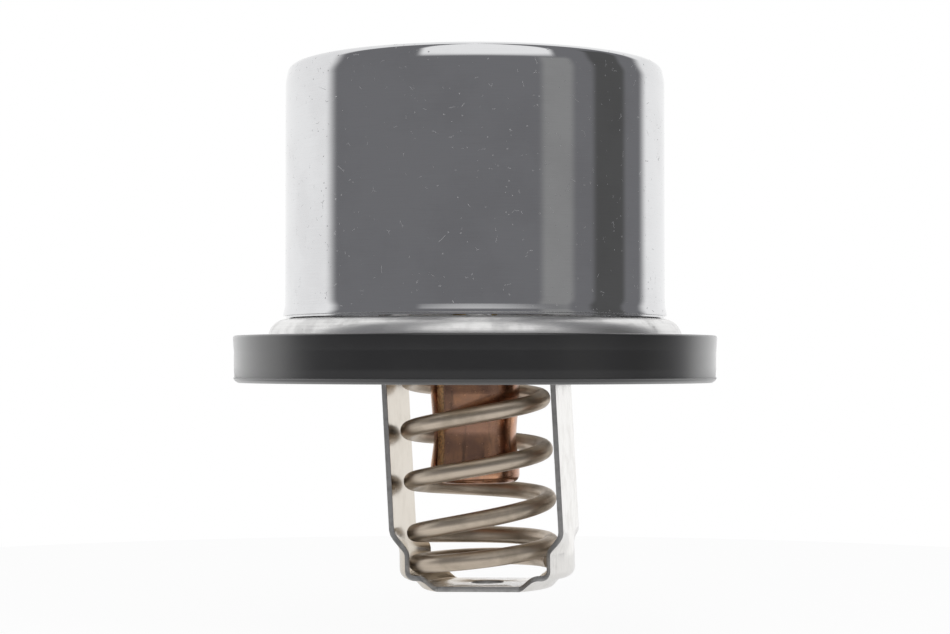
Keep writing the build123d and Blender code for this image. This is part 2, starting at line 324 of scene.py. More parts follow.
@dataclass(frozen=True)
class SteelFinish(Finish):
    """Bare steel whose shine changes along fine marks, with smudges, specks and short scratches, and on some
    pieces painted shade on the -X side.
    """

    tint: Colour
    dark_tint: Colour
    roughness: float
    grain: Grain
    grain_depth: float = 0.06
    grain_scale: float = 9000.0
    smudge_depth: float = 0.10
    smudge_scale: float = 160.0
    speck_depth: float = 0.25
    speck_scale: float = 500.0
    speck_size: float = 0.07
    hair_share: float = 0.3
    hair_cells: float = 0.45
    hair_width: float = 0.018
    relief: float = 0.002
    left_side_shade: Colour | None = None
    shade_share: float = 0.75
    shade_edge: float = 4.0

    def grain_coordinates(self, graph: Graph) -> Shade:
        """Coordinates squeezed so that noise on them becomes marks in the grain's direction.

        Args:
            graph: The material's nodes.

        Returns:
            The coordinates.
        """
        if self.grain is Grain.ROUND:
            return graph.wrapped(graph.place())
        if self.grain is Grain.ALONG_Z:
            return graph.stretched(graph.place(), (1.0, 1.0, 0.03))
        if self.grain is Grain.ALONG_WIRE:
            return graph.node("ShaderNodeAttribute", {"attribute_name": "wire_grain"}, output="Vector")
        return graph.place()

    def sockets(self, graph: Graph) -> dict[str, object]:
        """Values and links of the shader's sockets."""
        place = graph.place()
        marks = graph.noise(self.grain_coordinates(graph), self.grain_scale, 2.0)
        smudges = graph.noise(place, self.smudge_scale, 5.0, 0.6)
        dots = graph.specks(place, self.speck_scale, self.speck_size) * smudges.between(0.35, 0.60)
        hairs = graph.hairs(place, self.speck_scale * self.hair_cells, self.hair_width)
        specks = dots + hairs * self.hair_share
        worn = smudges.between(0.42, 0.68)
        roughness = self.roughness + (marks - 0.5) * self.grain_depth * 2.0 + worn * self.smudge_depth
        shade = (marks - 0.5) * 0.8 + worn * 0.5 + specks * self.speck_depth
        colour = graph.mix(shade.between(-0.5, 1.1), self.tint, self.dark_tint)
        # Painted shade: the piece's -X side is blended towards a darker colour.
        if self.left_side_shade is not None:
            edge = self.shade_edge * MM
            darkened = graph.axes(place)[0].between(edge, -edge) * self.shade_share
            colour = graph.mix(darkened, colour, self.left_side_shade)
        return {
            "Base Color": colour,
            "Metallic": 1.0,
            "Roughness": roughness + specks * self.speck_depth,
            "Normal": graph.bump(marks + specks, self.relief),
        }


@dataclass(frozen=True)
class CopperFinish(Finish):
    """Drawn copper, browned by heat, with stains that run down it, and at one side a rougher strip painted
    gold as a highlight.
    """

    name: str = "browned_copper"
    bright: Colour = (0.72, 0.385, 0.225)
    brown: Colour = (0.44, 0.25, 0.175)
    stain: Colour = (0.20, 0.13, 0.10)
    highlight_gold: Colour = (0.98, 0.64, 0.33)
    roughness: float = 0.15
    highlight_strip: tuple[float, float, float, float] = (-4.7, -4.3, -3.6, -3.2)

    def sockets(self, graph: Graph) -> dict[str, object]:
        """Values and links of the shader's sockets."""
        place = graph.place()
        runs = graph.noise(graph.stretched(place, (1.0, 1.0, 0.12)), 900.0, 4.0)
        patches = graph.noise(place, 240.0, 5.0, 0.6)
        pits = graph.specks(place, 1500.0, 0.16)
        body = graph.mix(patches.between(0.40, 0.70), self.brown, self.bright)
        darkened = graph.mix(runs.between(0.52, 0.72) * 0.75, body, self.stain)
        flecks = graph.noise(place, 3200.0, 2.0).between(0.40, 0.60)
        across, deep, _ = graph.axes(place)
        # Painted highlight: a flecked gold strip down the cup's -X side, on its front half, which is also
        # made rougher.
        low, full, full_end, end = (edge * MM for edge in self.highlight_strip)
        highlight_strip = across.between(low, full) * across.between(end, full_end) * deep.between(0.0, -2.0 * MM)
        painted_highlight = highlight_strip * (flecks * 0.6 + 0.4)
        return {
            "Base Color": graph.mix(painted_highlight, darkened, self.highlight_gold),
            "Metallic": 1.0,
            "Roughness": self.roughness + runs * 0.08 + pits * 0.2 + painted_highlight * 0.35,
            "Normal": graph.bump(runs + pits * 0.6, 0.01),
        }


@dataclass(frozen=True)
class BrassFinish(Finish):
    """Turned brass with fine rings from the tool."""

    name: str = "turned_brass"
    bright: Colour = (0.80, 0.60, 0.30)
    dull: Colour = (0.52, 0.37, 0.17)
    roughness: float = 0.26

    def sockets(self, graph: Graph) -> dict[str, object]:
        """Values and links of the shader's sockets."""
        rings = graph.noise(graph.wrapped(graph.place()), 7000.0, 2.0)
        tarnish = graph.noise(graph.place(), 300.0, 4.0)
        return {
            "Base Color": graph.mix(tarnish.between(0.40, 0.75), self.bright, self.dull),
            "Metallic": 1.0,
            "Roughness": self.roughness + rings * 0.12 + tarnish * 0.08,
            "Normal": graph.bump(rings, 0.006, 0.6),
        }


@dataclass(frozen=True)
class SoftFinish(Finish):
    """Moulded rubber, plastic or wax: one colour with a fine skin, dust and rub marks."""

    colour: Colour
    dusty: Colour
    roughness: float
    skin_scale: float = 5000.0
    skin_relief: float = 0.004
    dust: float = 0.5
    ior: float = 1.5
    sheen: float = 0.0
    sheen_roughness: float = 0.35
    coat: float = 0.0
    coat_roughness: float = 0.30

    def sockets(self, graph: Graph) -> dict[str, object]:
        """Values and links of the shader's sockets."""
        place = graph.place()
        skin = graph.noise(place, self.skin_scale, 2.0)
        cloud = graph.noise(place, 190.0, 5.0, 0.6)
        rubs = graph.noise(graph.wrapped(place), 1500.0, 3.0)
        motes = graph.specks(place, 260.0, 0.045)
        dusted = (cloud.between(0.45, 0.80) * self.dust + rubs.between(0.60, 0.80) * self.dust * 0.5) * 0.5
        return {
            "Base Color": graph.mix(dusted + motes * self.dust, self.colour, self.dusty),
            "IOR": self.ior,
            "Sheen Weight": self.sheen,
            "Sheen Roughness": self.sheen_roughness,
            "Coat Weight": self.coat,
            "Coat Roughness": self.coat_roughness,
            "Roughness": self.roughness + (skin - 0.5) * 0.10 + cloud * 0.10,
            "Normal": graph.bump(skin, self.skin_relief, 0.6),
        }


# Each finish by the record's slot name.
FINISHES: dict[str, Finish] = {
    "sleeve_steel": SteelFinish(
        "polished_sleeve", (0.76, 0.765, 0.775), (0.66, 0.66, 0.67), 0.045, Grain.ROUND,
        grain_depth=0.006, smudge_depth=0.03, smudge_scale=90.0, speck_depth=0.55, speck_scale=820.0,
        speck_size=0.13, hair_share=0.8, relief=0.0002,
    ),
    "plate_steel": SteelFinish(
        "pressed_plate", (0.90, 0.895, 0.885), (0.66, 0.655, 0.65), 0.30, Grain.ROUND,
        grain_scale=5000.0, smudge_depth=0.14, smudge_scale=260.0, relief=0.003,
    ),
    "strap_steel": SteelFinish(
        "rolled_strap", (0.92, 0.905, 0.88), (0.77, 0.75, 0.72), 0.17, Grain.ALONG_Z,
        grain_scale=4200.0, smudge_depth=0.07, smudge_scale=320.0, relief=0.004,
        # Painted shade on the strap's -X side.
        left_side_shade=(0.60, 0.52, 0.41),
    ),
    "spring_steel": SteelFinish(
        "spring_wire", (0.72, 0.62, 0.51), (0.38, 0.32, 0.25), 0.40, Grain.ALONG_WIRE,
        grain_depth=0.08, grain_scale=3.2, relief=0.01,
    ),
    "rivet_steel": SteelFinish(
        "rivet_heads", (0.66, 0.655, 0.65), (0.40, 0.39, 0.38), 0.34, Grain.EVEN, smudge_scale=700.0
    ),
    "washer_steel": SteelFinish(
        "plain_washers", (0.62, 0.615, 0.60), (0.38, 0.37, 0.35), 0.36, Grain.ROUND, smudge_scale=400.0
    ),
    "ground_steel": SteelFinish(
        "ground_pin", (0.78, 0.78, 0.79), (0.62, 0.62, 0.63), 0.12, Grain.ROUND, smudge_depth=0.04
    ),
    "copper": CopperFinish(),
    "brass": BrassFinish(),
    "black_rubber": SoftFinish(
        "black_rubber", (0.004, 0.004, 0.0045), (0.020, 0.020, 0.019), 0.27,
        dust=0.35, ior=1.75, sheen=1.0, coat=0.45,
    ),
    "wax": SoftFinish("wax_fill", (0.74, 0.62, 0.40), (0.80, 0.72, 0.55), 0.45, skin_scale=900.0),
    "chafe_plastic": SoftFinish("chafe_plastic", (0.80, 0.80, 0.77), (0.70, 0.70, 0.66), 0.40),
    "cut_edge": SteelFinish(
        "sheared_edge", (0.48, 0.475, 0.47), (0.28, 0.275, 0.27), 0.42, Grain.EVEN, smudge_scale=900.0
    ),
}


def focus(piece: Piece) -> None:
    """Select one object alone and make it the active one."""
    bpy.ops.object.select_all(action="DESELECT")
    piece.select_set(True)
    bpy.context.view_layer.objects.active = piece


class FinishShop:
    """Makes each finish once and hands it out by its slot name."""

    def __init__(self) -> None:
        """Build every material of the valve."""
        self.materials = {slot: finish.material() for slot, finish in FINISHES.items()}

    def dress(self, piece: Piece, slot: str) -> None:
        """Give a piece one finish all over.

        Args:
            piece: The object.
            slot: The record's slot name.
        """
        if not piece.material_slots:
            piece.data.materials.append(None)
        for material_slot in piece.material_slots:
            material_slot.material = self.materials[slot]

    def finish(self, piece: Piece, body: Body, slot: str, node: str, sharp_above: float = 40.0) -> None:
        """Smooth a piece, dress it with its slot's finish, tie it to its body, and hide the CAD node that it
        stands for.

        Args:
            piece: The object.
            body: The body that it moves with.
            slot: The record's slot name.
            node: The CAD node that it replaces.
            sharp_above: Edges that turn by more degrees than this stay sharp.
        """
        focus(piece)
        bpy.ops.object.shade_smooth_by_angle(angle=math.radians(sharp_above))
        self.dress(piece, slot)
        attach(piece, body.value)
        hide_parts(node)
        LOG.info("%s: %d vertices", piece.name, len(piece.data.vertices))


# ---- modelling helpers ----


@dataclass(frozen=True)
class Corner:
    """One corner of an outline: its place in millimetres and the radius that rounds it."""

    across: float
    up: float
    radius: float = 0.0


def rounded(corners: Sequence[Corner], closed: bool = True, arc_steps: int = 6) -> list[Point]:
    """Replace each corner that has a radius by an arc.

    Args:
        corners: The outline's corners in order.
        closed: Whether the last corner joins the first.
        arc_steps: Straight pieces in each arc.

    Returns:
        Points of the outline, in millimetres.
    """
    points: list[Point] = []
    count = len(corners)
    for index, corner in enumerate(corners):
        here = Vector((corner.across, corner.up))
        if corner.radius == 0.0 or (not closed and index in (0, count - 1)):
            points.append((here.x, here.y))
            continue
        before = corners[index - 1]
        after = corners[(index + 1) % count]
        back = (Vector((before.across, before.up)) - here).normalized()
        onward = (Vector((after.across, after.up)) - here).normalized()
        half_angle = back.angle(onward) / 2
        reach = corner.radius / math.tan(half_angle)
        centre = here + (back + onward).normalized() * corner.radius / math.sin(half_angle)
        start = here + back * reach - centre
        turn = start.angle_signed(here + onward * reach - centre)
        for step in range(arc_steps + 1):
            arm = start.copy()
            arm.rotate(Matrix.Rotation(-turn * step / arc_steps, 2))
            points.append((centre.x + arm.x, centre.y + arm.y))
    return points


def pick(piece: Piece, test: Callable[[Vector], bool]) -> None:
    """Select only the vertices that pass a test, and what lies between them.

    Args:
        piece: The object in edit mode.
        test: Takes a vertex's place in millimetres.
    """
    mesh = bmesh.from_edit_mesh(piece.data)
    for element in (*mesh.faces, *mesh.edges, *mesh.verts):
        element.select = False
    for vertex in mesh.verts:
        vertex.select = test(vertex.co / MM)
    mesh.select_flush(True)
    bmesh.update_edit_mesh(piece.data)


def extrude_to(at: Vector, there: Vector) -> Vector:
    """Extrude what is selected from one place to another.

    Args:
        at: The place that it starts from, in millimetres.
        there: The place that it goes to, in millimetres.

    Returns:
        The new place.
    """
    bpy.ops.mesh.extrude_region_move(TRANSFORM_OT_translate={"value": tuple((there - at) * MM)})
    return there


def spin_outline(name: str, points: Sequence[Point], closed: bool = True, steps: int = 160) -> Piece:
    """Draw an outline point by point and spin it about the Z axis.

    Args:
        name: The object's name.
        points: (radius, height) in millimetres.
        closed: Whether the outline is joined up, as a wall with a thickness is.
        steps: Faces round the axis.

    Returns:
        The object, in object mode.
    """
    bpy.ops.object.select_all(action="DESELECT")
    bpy.ops.mesh.primitive_plane_add(size=MM, location=(0.0, 0.0, 0.0))
    piece = bpy.context.active_object
    piece.name = name
    bpy.ops.object.mode_set(mode="EDIT")
    bpy.ops.mesh.select_all(action="SELECT")
    bpy.ops.mesh.merge(type="CENTER")
    at = Vector((points[0][0], 0.0, points[0][1]))
    bpy.ops.transform.translate(value=tuple(at * MM))
    for across, up in [*points[1:], points[0]] if closed else points[1:]:
        at = extrude_to(at, Vector((across, 0.0, up)))
    weld = 0.0004 * MM
    bpy.ops.mesh.select_all(action="SELECT")
    bpy.ops.mesh.remove_doubles(threshold=weld)
    bpy.ops.mesh.spin(steps=steps, angle=2.0 * math.pi, center=(0.0, 0.0, 0.0), axis=(0.0, 0.0, 1.0))
    bpy.ops.mesh.select_all(action="SELECT")
    bpy.ops.mesh.remove_doubles(threshold=weld)
    bpy.ops.mesh.normals_make_consistent(inside=False)
    bpy.ops.object.mode_set(mode="OBJECT")
    return piece


def apply_modifier(piece: Piece, kind: str, **settings: object) -> None:
    """Add a modifier with its settings and apply it.

    Args:
        piece: The object.
        kind: The modifier's type.
        **settings: Its properties.
    """
    focus(piece)
    modifier = piece.modifiers.new(kind.lower(), kind)
    for name, value in settings.items():
        setattr(modifier, name, value)
    bpy.ops.object.modifier_apply(modifier=modifier.name)


# ---- sub-assemblies ----


@dataclass
class ValveSleeve:
    """Polished tube with a turned-in mouth, and a slightly flared foot that is cut back at the seat."""

    radius: float = 27.0
    wall: float = 1.0
    mouth_radius: float = 23.0
    mouth_round: float = 1.1
    mouth_edge: float = 0.2
    narrowing_height: float = 2.35
    narrowing_in: float = 0.45
    narrowing_round: float = 6.0
    flare_height: float = 2.4
    flare_top_round: float = 40.0
    bend_height: float = 1.74
    bend_in: float = 0.345
    toe_height: float = 0.45
    toe_in: float = 0.085
    flare_round: float = 4.0
    foot_edge: float = 0.15
    relief_height: float = 0.20
    relief_depth: float = 0.45

    def build(self, shop: FinishShop) -> None:
        """Spin the tube between the heights of its CAD node and polish it."""
        low, high = (corner.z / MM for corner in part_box("valve_sleeve"))
        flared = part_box("valve_sleeve")[1].x / MM
        bend_radius = flared - self.bend_in
        bend = low + self.bend_height
        flare_top = low + self.flare_height
        narrowing = high - self.narrowing_height
        inner = self.radius - self.wall
        foot = low + self.relief_height
        corners = [
            Corner(flared - self.relief_depth, low),
            Corner(flared - self.relief_depth, foot),
            Corner(flared, foot, self.foot_edge),
            Corner(flared - self.toe_in, foot + self.toe_height, self.flare_round),
            Corner(bend_radius, bend, self.flare_round),
            Corner(self.radius, flare_top, self.flare_top_round),
            Corner(self.radius, narrowing, self.narrowing_round),
            Corner(self.radius - self.narrowing_in, high, self.mouth_round),
            Corner(self.mouth_radius, high, self.mouth_edge),
            Corner(self.mouth_radius, high - self.wall, self.mouth_edge),
            Corner(inner - self.narrowing_in, high - self.wall, 0.3),
            Corner(inner, narrowing, self.narrowing_round),
            Corner(inner, flare_top, self.flare_top_round),
            Corner(bend_radius - self.wall, bend, self.flare_round),
            Corner(flared - self.wall, low, self.foot_edge),
        ]
        piece = spin_outline("sleeve_tube", rounded(corners), steps=256)
        shop.finish(piece, Body.VALVE, "sleeve_steel", "valve_sleeve")


@dataclass
class SeatFlange:
    """Pressed seat plate and the rubber ring round its rim."""

    sheet: float = 1.0
    wall_radius: float = 29.4
    shoulder_round: float = 2.7
    rim_bend: float = 0.5
    bore_radius: float = 21.0
    bore_edge: float = 0.15
    ring_radius: float = 34.2
    ring_inner: float = 29.5
    ring_edge: float = 0.15
    top_crown: float = 0.12
    outer_edge: float = 0.35
    bead_out: float = 0.18
    bead_height: float = 2.2
    bead_round: float = 4.0
    draft_height: float = 1.9
    draft_in: float = 0.10
    draft_round: float = 6.0
    flash_height: float = 0.68
    flash_out: float = 0.14
    flash_half: float = 0.07
    flash_edge: float = 0.02
    foot_in: float = 0.6
    foot_round: float = 0.5
    foot_round_height: float = 0.33

    def build(self, shop: FinishShop) -> None:
        """Build the plate and the ring."""
        self.build_plate(shop)
        self.build_ring(shop)

    def build_plate(self, shop: FinishShop) -> None:
        """Spin the plate's section: bore, flat seat, shoulder, wall and rim."""
        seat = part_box("seat_plate")[1].z / MM
        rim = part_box("seat_plate")[1].x / MM
        half = self.sheet / 2
        corners = [
            Corner(self.bore_radius, seat, self.bore_edge),
            Corner(self.wall_radius, seat, self.shoulder_round),
            Corner(self.wall_radius, half, self.rim_bend),
            Corner(rim, half),
            Corner(rim, -half),
            Corner(self.wall_radius - self.sheet, -half, self.rim_bend + self.sheet),
            Corner(self.wall_radius - self.sheet, seat - self.sheet, self.shoulder_round - self.sheet),
            Corner(self.bore_radius, seat - self.sheet, self.bore_edge),
        ]
        piece = spin_outline("seat_pressing", rounded(corners, arc_steps=8), steps=224)
        shop.finish(piece, Body.SEAT, "plate_steel", "seat_plate")

    def build_ring(self, shop: FinishShop) -> None:
        """Spin the ring's section: fuller at its top, and the mould's parting line near its foot."""
        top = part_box("flange_seal")[1].z / MM + self.top_crown
        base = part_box("flange_seal")[0].z / MM
        half = self.sheet / 2
        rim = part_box("seat_plate")[1].x / MM
        flash = base + self.flash_height
        outer = self.ring_radius
        corners = [
            Corner(self.ring_inner, top, self.ring_edge),
            Corner(outer + self.bead_out, top, self.outer_edge),
            Corner(outer, top - self.bead_height, self.bead_round),
            Corner(outer, base + self.draft_height, self.draft_round),
            Corner(outer - self.draft_in, flash + self.flash_half),
            Corner(outer + self.flash_out, flash, self.flash_edge),
            Corner(outer + self.flash_edge, flash - self.flash_half),
            Corner(outer - self.draft_in, base + self.foot_round_height, self.foot_round),
            Corner(outer - self.foot_in, base, self.outer_edge),
            Corner(self.ring_inner, base, self.ring_edge),
            Corner(self.ring_inner, -half),
            Corner(rim, -half),
            Corner(rim, half),
            Corner(self.ring_inner + self.rim_bend, half),
            Corner(self.ring_inner, half + self.rim_bend),
        ]
        piece = spin_outline("seal_ring", rounded(corners), steps=224)
        shop.finish(piece, Body.SEAT, "black_rubber", "flange_seal", 50.0)


@dataclass
class WaxCapsule:
    """Drawn copper cup with a waist, crimped over the brass guide."""

    radius: float = 6.35
    wall: float = 0.5
    corner: float = 1.1
    waist_radius: float = 5.82
    waist_height: float = -11.3
    waist_bottom: float = -15.2
    waist_top: float = -4.6
    waist_round: float = 12.0
    below_waist_round: float = 6.0
    above_waist_round: float = 8.0
    crimp_bottom: float = -1.9
    crimp_top: float = 1.9
    crimp_round: float = 0.8
    neck_round: float = 0.3
    lip_radius: float = 6.2
    lip_edge: float = 0.15
    lip_inner_edge: float = 0.1

    def build(self, shop: FinishShop) -> None:
        """Spin the cup's wall and brown it."""
        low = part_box("capsule_cup")[0].z / MM
        crimp_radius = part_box("capsule_cup")[1].x / MM
        wall = self.wall
        inner = self.radius - wall
        inner_crimp = self.crimp_round - wall
        corners = [
            Corner(0.0, low),
            Corner(self.radius, low, self.corner),
            Corner(self.radius, self.waist_bottom, self.below_waist_round),
            Corner(self.waist_radius, self.waist_height, self.waist_round),
            Corner(self.radius, self.waist_top, self.above_waist_round),
            Corner(self.radius, self.crimp_bottom, self.neck_round),
            Corner(crimp_radius, self.crimp_bottom, self.crimp_round),
            Corner(crimp_radius, self.crimp_top, self.crimp_round),
            Corner(self.lip_radius, self.crimp_top, self.lip_edge),
            Corner(self.lip_radius, self.crimp_top - wall, self.lip_inner_edge),
            Corner(crimp_radius - wall, self.crimp_top - wall, inner_crimp),
            Corner(crimp_radius - wall, self.crimp_bottom + wall, inner_crimp),
            Corner(inner, self.crimp_bottom + wall, self.neck_round * 2),
            Corner(inner, self.waist_top, self.above_waist_round),
            Corner(self.waist_radius - wall, self.waist_height, self.waist_round),
            Corner(inner, self.waist_bottom, self.below_waist_round),
            Corner(inner, low + wall, self.corner - wall),
            Corner(0.0, low + wall),
        ]
        piece = spin_outline("copper_cup", rounded(corners, closed=False), closed=False, steps=128)
        shop.finish(piece, Body.SEAT, "copper", "capsule_cup")


@dataclass
class ReturnSpring:
    """Round-wire compression spring with closed ends, bowed towards +X lower down, its coils tilted."""

    wire_radius: float = 1.22
    coil_radius: float = 9.55
    foot_height: float = -28.84
    start_angle: float = 12.2
    pitch: float = 7.2
    foot_turns: float = 1.65
    head_turns: float = 1.22
    lean: float = 3.9
    lean_below: float = -7.9
    tilts: tuple[Point, ...] = ((0.0, 1.1), (0.6, 4.2), (1.9, 4.4), (2.5, 3.3), (4.4, 3.3), (5.6, 0.0))
    steps_per_turn: int = 64
    streak_stretch: float = 0.35

    @cached_property
    def seat_height(self) -> float:
        """Height of the washer that the last coil presses on, in millimetres."""
        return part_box("spring_seat_washer")[0].z / MM

    @cached_property
    def turns(self) -> float:
        """Turns from end to end."""
        closing_rise = self.pitch / 2 * (self.foot_turns + self.head_turns)
        full_rise = self.seat_height - self.wire_radius - self.foot_height - closing_rise
        return self.foot_turns + full_rise / self.pitch + self.head_turns

    @cached_property
    def runs(self) -> int:
        """Straight pieces that the wire is drawn with."""
        return round(self.turns * self.steps_per_turn)

    def height(self, turn: float) -> float:
        """Height of the coil's centre after a number of turns from the wire's lower end."""
        in_foot = min(turn, self.foot_turns)
        in_head = max(turn - (self.turns - self.head_turns), 0.0)
        foot_rise = self.pitch * in_foot**2 / (2.0 * self.foot_turns)
        head_loss = self.pitch * in_head**2 / (2.0 * self.head_turns)
        return self.foot_height + foot_rise + self.pitch * max(turn - self.foot_turns, 0.0) - head_loss

    def tilt(self, turn: float) -> float:
        """Tilt of the coil in degrees, its +X side higher, read between the listed turns."""
        for (low_turn, low_tilt), (high_turn, high_tilt) in zip(self.tilts, self.tilts[1:]):
            if turn <= high_turn:
                return low_tilt + (high_tilt - low_tilt) * (turn - low_turn) / (high_turn - low_turn)
        return self.tilts[-1][1]

    def centre(self, run: int) -> Vector:
        """Centre of the coil beside the start of a straight piece, in millimetres."""
        height = self.height(self.turns * run / self.runs)
        return Vector((max(self.lean_below - height, 0.0) * math.tan(math.radians(self.lean)), 0.0, height))

    def point(self, run: int) -> Vector:
        """Where a straight piece starts on the wire's centre line, in millimetres."""
        turn = self.turns * run / self.runs
        angle = math.radians(self.start_angle) + 2.0 * math.pi * turn
        across = self.coil_radius * math.cos(angle)
        rise = across * math.tan(math.radians(self.tilt(turn)))
        return self.centre(run) + Vector((across, self.coil_radius * math.sin(angle), rise))

    def build(self, shop: FinishShop, lift: float) -> None:
        """Bend the wire along its helix.

        Args:
            shop: The finishes.
            lift: How far the sleeve rises, in millimetres; not used.
        """
        curve = bpy.data.curves.new("spring_wire_line", "CURVE")
        curve.dimensions = "3D"
        curve.bevel_depth = self.wire_radius * MM
        curve.bevel_resolution = 8
        curve.use_fill_caps = True
        line = curve.splines.new("POLY")
        line.points.add(self.runs)
        for run, place in enumerate(line.points):
            place.co = (*(self.point(run) * MM), 1.0)
        piece = bpy.data.objects.new("spring_coil", curve)
        bpy.context.scene.collection.objects.link(piece)
        focus(piece)
        bpy.ops.object.convert(target="MESH")
        piece = bpy.context.active_object
        self.mark_grain(piece)
        shop.finish(piece, Body.SEAT, "spring_steel", "return_spring", 60.0)
        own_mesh(piece)

    def mark_grain(self, piece: Piece) -> None:
        """Store where each vertex of the wire lies round it and along it, for marks that follow the wire."""
        line = KDTree(self.runs + 1)
        for run in range(self.runs + 1):
            line.insert(self.point(run), run)
        line.balance()
        attribute = piece.data.attributes.new("wire_grain", "FLOAT_VECTOR", "POINT")
        for vertex in piece.data.vertices:
            here = vertex.co / MM
            nearest, run, _ = line.find(here)
            axis = self.centre(run)
            out = math.hypot(here.x - axis.x, here.y - axis.y) - self.coil_radius
            around = (out / self.wire_radius, (here.z - nearest.z) / self.wire_radius)
            along = self.turns * run / self.runs * self.streak_stretch
            attribute.data[vertex.index].vector = (*around, along)


@dataclass
class Stirrup:
    """One strap folded to a U: flat legs that lean, blended into a drawn cup round the spring's last coil."""

    sheet: float = 0.75
    width: float = 13.0
    half_gap: float = 11.7
    foot_end: float = 18.0
    fold: float = 1.25
    fold_steps: int = 6
    foot_top: float = 13.0
    lean: float = 3.15
    lean_from: float = 2.65
    leg_end: float = -23.9
    leg_rows: tuple[float, ...] = (-17.0, -10.0, -4.0, 2.65, 7.0)
    cup_wall_top: float = -27.2
    cup_tilt: float = 1.1
    floor_top: float = -30.1
    floor_corner: float = 0.65
    dish_top: float = 10.15
    dish_top_round: float = 1.35
    dish_bottom: float = 8.8
    dish_bottom_round: float = 0.6
    dish_depth: float = 1.5
    hole_radius: float = 2.3
    blend_rows: int = 7
    soft_edge: float = 0.07

    def cup_axis(self) -> float:
        """Distance of the cup's axis from the sleeve's axis along X."""
        return (self.lean_from - self.floor_top) * math.tan(math.radians(self.lean))

    def build(self, shop: FinishShop) -> None:
        """Model the strap's inner face, thicken it outwards and dress faces and cut edges."""
        piece = self.build_cup()
        for side in (-1, 1):
            self.draw_leg(piece, side)
        bpy.ops.mesh.select_all(action="SELECT")
        bpy.ops.mesh.normals_make_consistent(inside=False)
        bpy.ops.object.mode_set(mode="OBJECT")
        piece.data.materials.append(shop.materials["strap_steel"])
        piece.data.materials.append(shop.materials["cut_edge"])
        floor = min(piece.data.polygons, key=lambda face: face.center.z)
        outwards = -1.0 if floor.normal.z > 0 else 1.0
        sheet = {"thickness": self.sheet * MM, "offset": outwards, "use_even_offset": True}
        apply_modifier(piece, "SOLIDIFY", material_offset_rim=1, **sheet)
        edge = {"width": self.soft_edge * MM, "limit_method": "ANGLE", "angle_limit": math.radians(60.0)}
        apply_modifier(piece, "BEVEL", segments=2, **edge)
        shop.finish(piece, Body.VALVE, "strap_steel", "stirrup", 35.0)
        piece.material_slots[1].material = shop.materials["cut_edge"]

    def build_cup(self) -> Piece:
        """Spin the drawn cup, cut it to the strap's width, and tilt it into place.

        Returns:
            The cup's inner face, in edit mode.
        """
        corners = [
            Corner(self.hole_radius, self.floor_top - self.dish_depth),
            Corner(self.dish_bottom, self.floor_top - self.dish_depth, self.dish_bottom_round),
            Corner(self.dish_top, self.floor_top, self.dish_top_round),
            Corner(self.half_gap, self.floor_top, self.floor_corner),
            Corner(self.half_gap, self.cup_wall_top),
        ]
        outline = rounded(corners, closed=False, arc_steps=5)
        piece = spin_outline("stirrup_strap", outline, closed=False, steps=120)
        bpy.ops.object.mode_set(mode="EDIT")
        for side in (-1, 1):
            bpy.ops.mesh.select_all(action="SELECT")
            bpy.ops.mesh.bisect(
                plane_co=(0.0, side * self.width / 2 * MM, 0.0), plane_no=(0.0, side, 0.0), clear_outer=True
            )
        bpy.ops.object.mode_set(mode="OBJECT")
        floor = Vector((0.0, 0.0, self.floor_top)) * MM
        tilt = Matrix.Rotation(math.radians(-self.cup_tilt), 4, "Y")
        shift = Vector((self.cup_axis(), 0.0, 0.0)) * MM
        piece.data.transform(Matrix.Translation(floor + shift) @ tilt @ Matrix.Translation(-floor))
        bpy.ops.object.mode_set(mode="EDIT")
        return piece

    def leg_face(self, side: int, height: float) -> float:
        """X of a leg's inner face at a height, in millimetres."""
        return side * self.half_gap + max(self.lean_from - height, 0.0) * math.tan(math.radians(self.lean))

    def rim_height(self, across: float) -> float:
        """Height of the cup's tilted rim at an X, in millimetres."""
        return self.cup_wall_top + (across - self.cup_axis()) * math.tan(math.radians(self.cup_tilt))

    def on_rim(self, at: Vector, side: int) -> bool:
        """Whether a place lies on the rim of the cup's wall, at -X or +X."""
        reach = 0.05
        beside = (at.x - self.cup_axis()) * side > self.half_gap / 2
        return beside and abs(at.z - self.rim_height(at.x)) < reach

    def draw_leg(self, piece: Piece, side: int) -> None:
        """Extrude one leg up from the cup's wall: flattened, then straight, then folded out to its foot.

        Args:
            piece: The strap in edit mode.
            side: -1 or 1, for the leg at -X or +X.
        """
        pick(piece, lambda at: self.on_rim(at, side))
        start = self.rim_height(self.cup_axis() + side * self.half_gap)
        at = Vector((self.leg_face(side, self.cup_wall_top), 0.0, start))
        bow = 1.0
        for row in range(1, self.blend_rows + 1):
            share = row / self.blend_rows
            height = start + (self.leg_end - start) * share
            at = extrude_to(at, Vector((self.leg_face(side, height), 0.0, height)))
            bow_left = 1.0 - share * share * (3.0 - 2.0 * share)
            self.flatten(at.x, bow_left / bow)
            bow = bow_left
        for height in (*self.leg_rows, self.foot_top - self.fold):
            at = extrude_to(at, Vector((self.leg_face(side, height), 0.0, height)))
        centre = at + Vector((side * self.fold, 0.0, 0.0))
        for step in range(1, self.fold_steps + 1):
            angle = math.pi / 2 * step / self.fold_steps
            arm = Vector((-side * math.cos(angle), 0.0, math.sin(angle))) * self.fold
            at = extrude_to(at, centre + arm)
        extrude_to(at, Vector((side * self.foot_end, 0.0, at.z)))

    def flatten(self, line_x: float, share: float) -> None:
        """Scale the selected chain along X towards a line, to a share of its bow."""
        bpy.ops.transform.resize(value=(share, 1.0, 1.0), center_override=(line_x * MM, 0.0, 0.0))


# ---- studio ----


DEGREE = math.pi / 180.0
WHITE: Colour = (1.0, 1.0, 1.0)
BELOW: Colour = (0.95, 0.95, 0.94)


